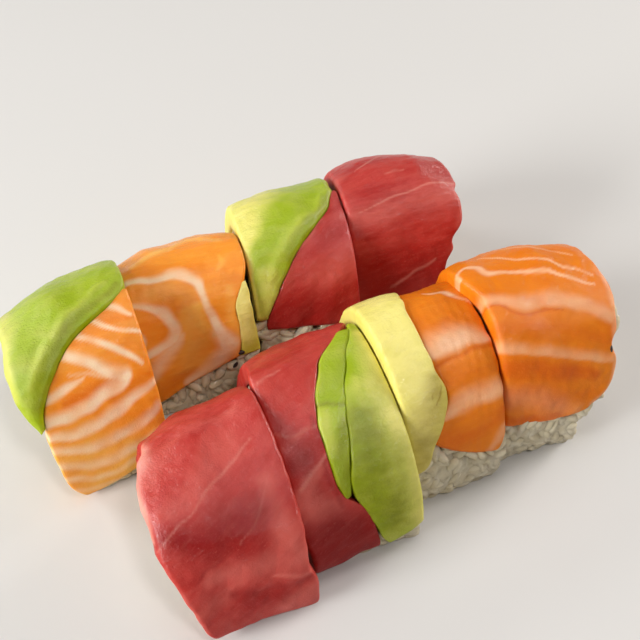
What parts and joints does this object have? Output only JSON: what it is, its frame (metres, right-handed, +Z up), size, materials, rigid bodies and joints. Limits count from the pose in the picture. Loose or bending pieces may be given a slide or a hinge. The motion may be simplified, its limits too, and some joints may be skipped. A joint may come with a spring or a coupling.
{
  "type": "rainbow roll",
  "caption": "Inside-out sushi roll topped with bands of tuna, salmon and avocado, cut into slices that stand in two touching rows.",
  "frame": {"origin": "middle of the footprint, at table height", "axes": "+X along the rows of slices, -Y towards the front row, +Z up"},
  "size_m": [0.1292, 0.0982, 0.0412],
  "materials": {
    "rice": "moist",
    "nori": "matte",
    "tuna": "moist, slightly glossy",
    "salmon": "moist, slightly glossy",
    "avocado_green": "moist",
    "avocado_pale": "moist"
  },
  "bodies": {
    "root": {"rice_front_1": "rice", "rice_front_2": "rice", "rice_front_3": "rice", "rice_front_4": "rice", "rice_back_1": "rice", "rice_back_2": "rice", "rice_back_3": "rice", "rice_back_4": "rice", "nori_front_1": "nori", "nori_front_2": "nori", "nori_front_3": "nori", "nori_front_4": "nori", "nori_back_1": "nori", "nori_back_2": "nori", "nori_back_3": "nori", "nori_back_4": "nori", "tuna_front_1": "tuna", "tuna_front_2": "tuna", "avocado_strip_front_2": "avocado_green", "avocado_front_2": "avocado_green", "avocado_front_3": "avocado_pale", "salmon_front_3": "salmon", "salmon_front_4": "salmon", "avocado_back_1": "avocado_green", "salmon_back_1": "salmon", "salmon_back_2": "salmon", "avocado_back_2": "avocado_pale", "avocado_back_3": "avocado_green", "tuna_back_3": "tuna", "tuna_back_4": "tuna"}
  },
  "joints": []
}
